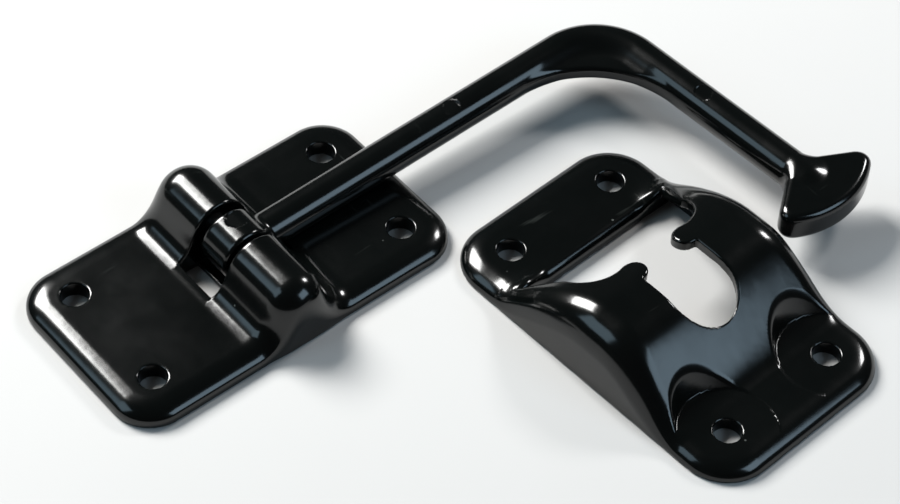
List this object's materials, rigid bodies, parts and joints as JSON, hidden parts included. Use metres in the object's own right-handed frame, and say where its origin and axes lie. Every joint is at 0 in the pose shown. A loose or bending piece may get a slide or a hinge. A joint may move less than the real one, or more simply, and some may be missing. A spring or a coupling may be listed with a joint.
{
  "type": "t-head door holder",
  "caption": "Moulded door holder: a hinge plate carries a swinging L-shaped arm with a T head, which a hooded, slotted keeper catches.",
  "frame": {"origin": "middle of the hinge plate's four screw holes, on its mounting face", "axes": "+Z away from the surface that both halves are screwed to, +X along the hinge plate towards the arm's elbow, Y along the hinge"},
  "size_m": [0.1624, 0.1297, 0.0169],
  "materials": {
    "moulding": "glossy black moulded plastic",
    "pin": "plain drawn steel rod"
  },
  "bodies": {
    "hinge_half": {"hinge_plate": "moulding", "hinge_pin": "pin"},
    "arm": {"swing_arm": "moulding"},
    "keeper_half": {"keeper": "moulding"}
  },
  "joints": [
    {"name": "arm_hinge", "type": "hinge", "parent": "hinge_half", "child": "arm", "pos_m": [0, 0.0008, 0.0084], "axis": [0, -1, 0], "range_deg": [0, 176]},
    {"name": "keeper_lift", "type": "slide", "parent": "hinge_half", "child": "keeper_half", "axis": [0, 0, 1], "range_m": [0, 0.04]}
  ]
}
